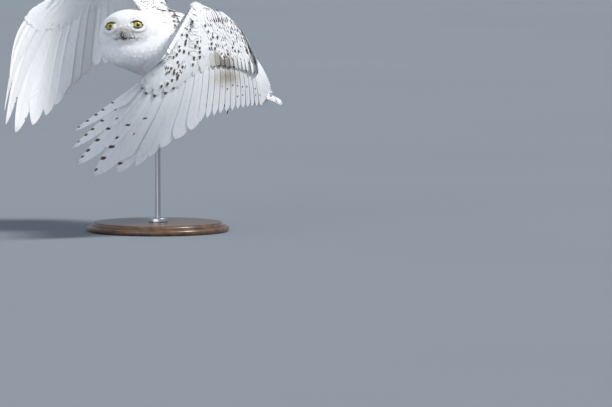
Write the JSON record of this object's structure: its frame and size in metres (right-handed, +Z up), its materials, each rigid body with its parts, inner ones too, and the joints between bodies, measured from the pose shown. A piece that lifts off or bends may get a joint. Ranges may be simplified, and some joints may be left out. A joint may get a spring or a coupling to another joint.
{
  "type": "snowy owl display model",
  "caption": "Life-size snowy owl in flight, wings swept down, looking to its left, held on a display stand with a round flat base and one upright rod.",
  "frame": {"origin": "middle of the underside of the round base, on the floor", "axes": "+Z up, -Y the way the owl flies, +X to the owl's left"},
  "size_m": [0.5735, 0.6431, 0.6301],
  "materials": {
    "plumage_white": "soft white feathers",
    "plumage_wing": "white flight feathers with dark brown bars and spots",
    "plumage_tail": "white tail feathers with brown bars",
    "eye": "wet, clear cornea over a yellow iris",
    "horn_dark": "satin black horn",
    "wood": "dark satin lacquer",
    "steel": "brushed"
  },
  "bodies": {
    "root": {"head": "plumage_white", "neck": "plumage_white", "trunk": "plumage_white", "tail": "plumage_tail", "bill_upper": "horn_dark", "bill_lower": "horn_dark", "eye_left": "eye", "eye_right": "eye", "leg_left_thigh": "plumage_white", "leg_left_shank": "plumage_white", "leg_left_foot": "plumage_white", "leg_left_toe_inner": "plumage_white", "leg_left_toe_middle": "plumage_white", "leg_left_toe_outer": "plumage_white", "leg_left_toe_hind": "plumage_white", "claw_left_inner": "horn_dark", "claw_left_middle": "horn_dark", "claw_left_outer": "horn_dark", "claw_left_hind": "horn_dark", "leg_right_thigh": "plumage_white", "leg_right_shank": "plumage_white", "leg_right_foot": "plumage_white", "leg_right_toe_inner": "plumage_white", "leg_right_toe_middle": "plumage_white", "leg_right_toe_outer": "plumage_white", "leg_right_toe_hind": "plumage_white", "claw_right_inner": "horn_dark", "claw_right_middle": "horn_dark", "claw_right_outer": "horn_dark", "claw_right_hind": "horn_dark", "wing_left_hand": "plumage_wing", "wing_left_forearm": "plumage_wing", "wing_left_upper_arm": "plumage_wing", "wing_left_alula": "plumage_wing", "wing_right_hand": "plumage_wing", "wing_right_forearm": "plumage_wing", "wing_right_upper_arm": "plumage_wing", "wing_right_alula": "plumage_wing", "stand_base": "wood", "stand_rod": "steel", "stand_collar": "steel"}
  },
  "joints": []
}
